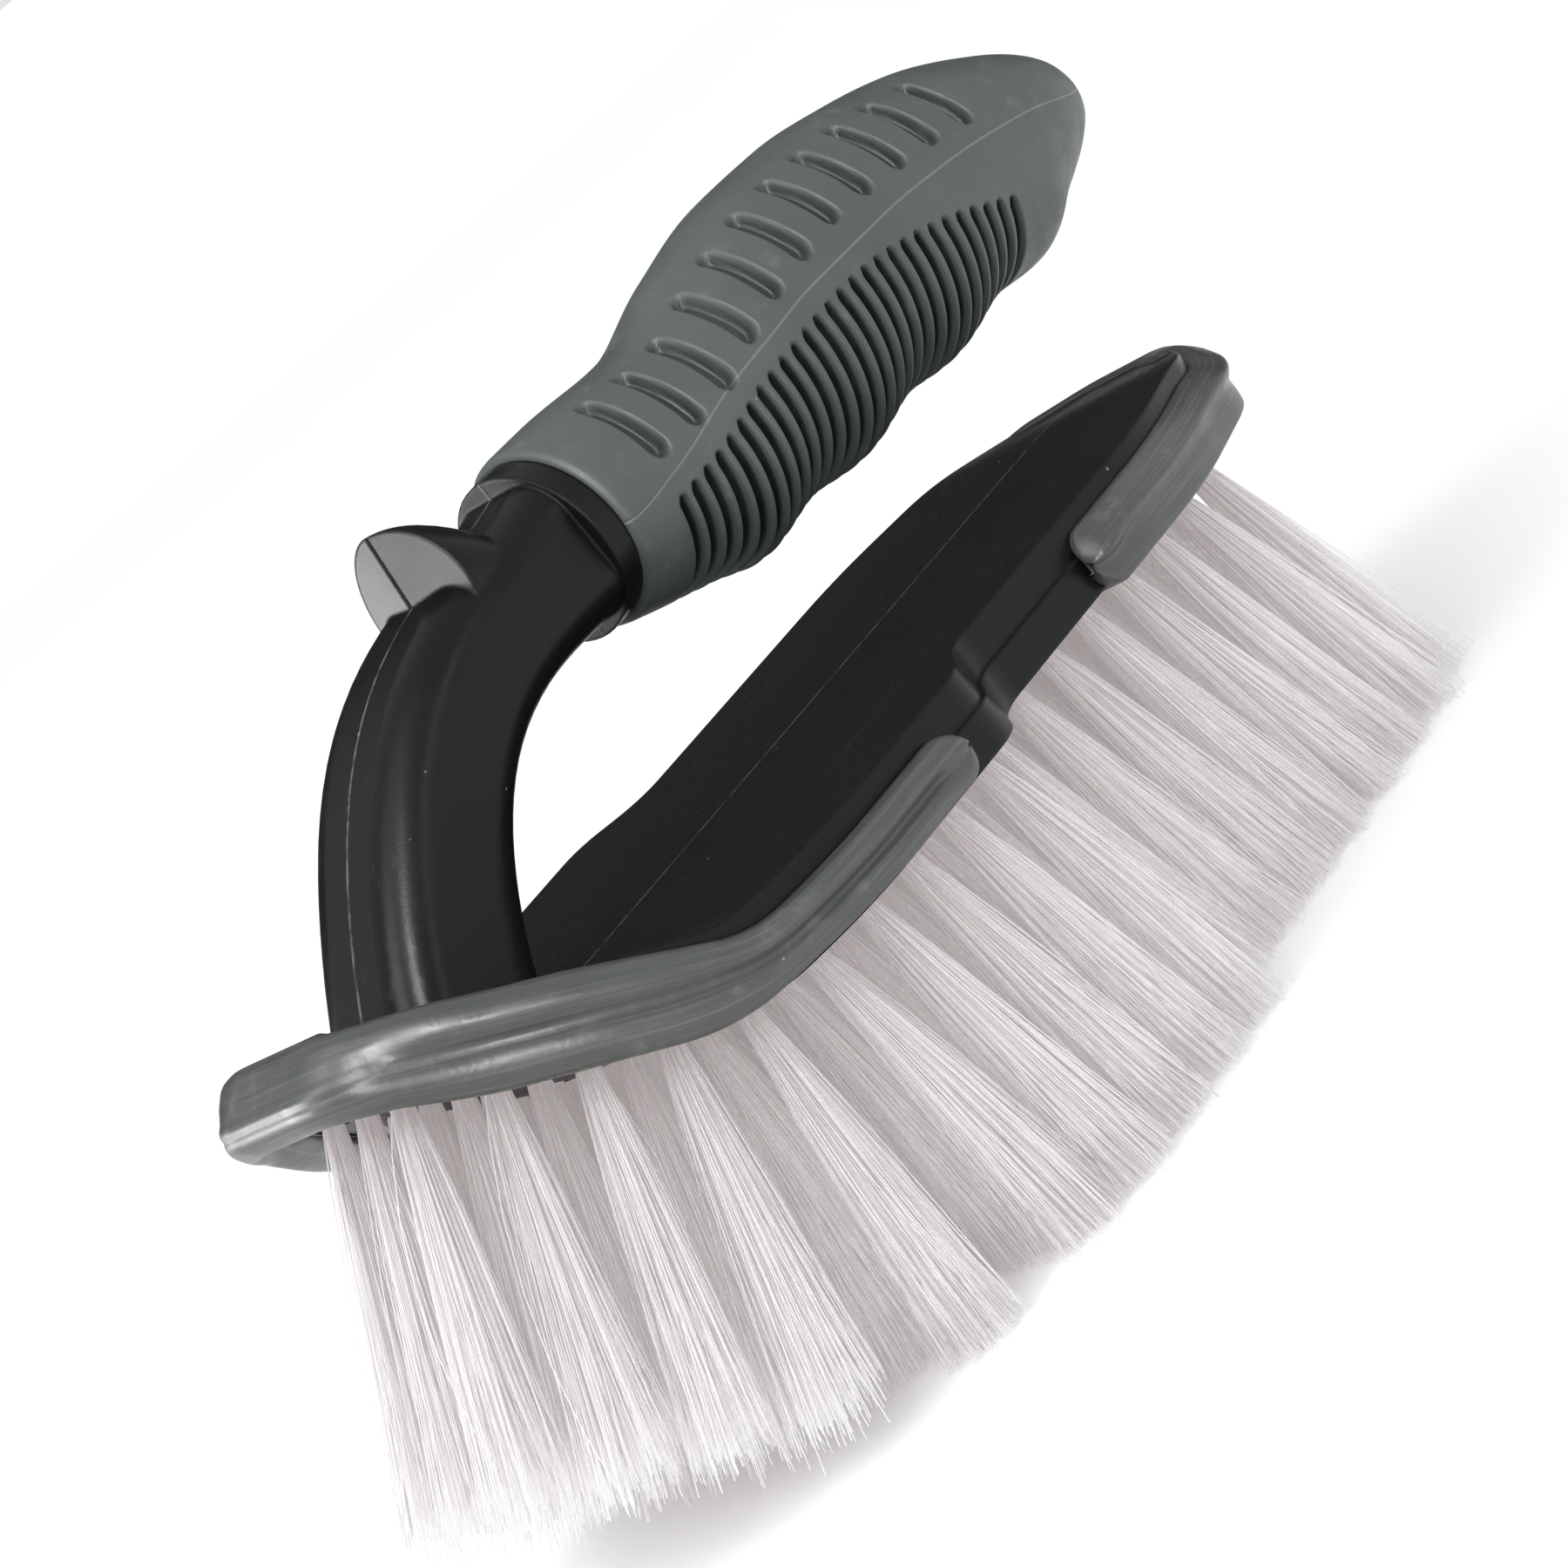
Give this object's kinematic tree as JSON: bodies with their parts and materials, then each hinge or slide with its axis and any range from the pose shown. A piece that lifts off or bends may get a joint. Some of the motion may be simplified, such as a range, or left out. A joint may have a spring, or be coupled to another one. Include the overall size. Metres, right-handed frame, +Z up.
{
  "type": "wheel brush",
  "caption": "Hand brush with an upturned pointed nose, soft rubber bumpers, a flared block of pale bristle tufts and a ribbed rubber grip on a curved neck above the block.",
  "frame": {"origin": "on the rest plane through the bristle tips, on the middle plane, straight below the front edge of the grip", "axes": "+X to the free end of the grip, +Y to the left with the nose behind, +Z up from the bristle tips to the grip"},
  "size_m": [0.2216, 0.0976, 0.1117],
  "materials": {
    "black_plastic": "satin black polypropylene with a fine moulded grain",
    "black_plate": "satin black polypropylene",
    "bumper_rubber": "smooth grey-green thermoplastic rubber",
    "grip_rubber": "matt grey-green thermoplastic rubber",
    "bristle": "translucent white polypropylene filament",
    "anchor_steel": "galvanised flat wire"
  },
  "bodies": {
    "root": {"body": "black_plastic", "grip_sleeve": "grip_rubber", "nose_bumper": "bumper_rubber", "rear_bumper": "bumper_rubber", "tuft_plate": "black_plate", "tuft_row_01": "bristle", "tuft_row_02": "bristle", "tuft_row_03": "bristle", "tuft_row_04": "bristle", "tuft_row_05": "bristle", "tuft_row_06": "bristle", "tuft_row_07": "bristle", "tuft_row_08": "bristle", "tuft_row_09": "bristle", "tuft_row_10": "bristle", "tuft_row_11": "bristle", "tuft_row_12": "bristle", "tuft_row_13": "bristle", "tuft_row_14": "bristle", "tuft_row_15": "bristle", "tuft_row_16": "bristle", "tuft_row_17": "bristle", "tuft_row_18": "bristle", "wire_anchors": "anchor_steel"}
  },
  "joints": []
}
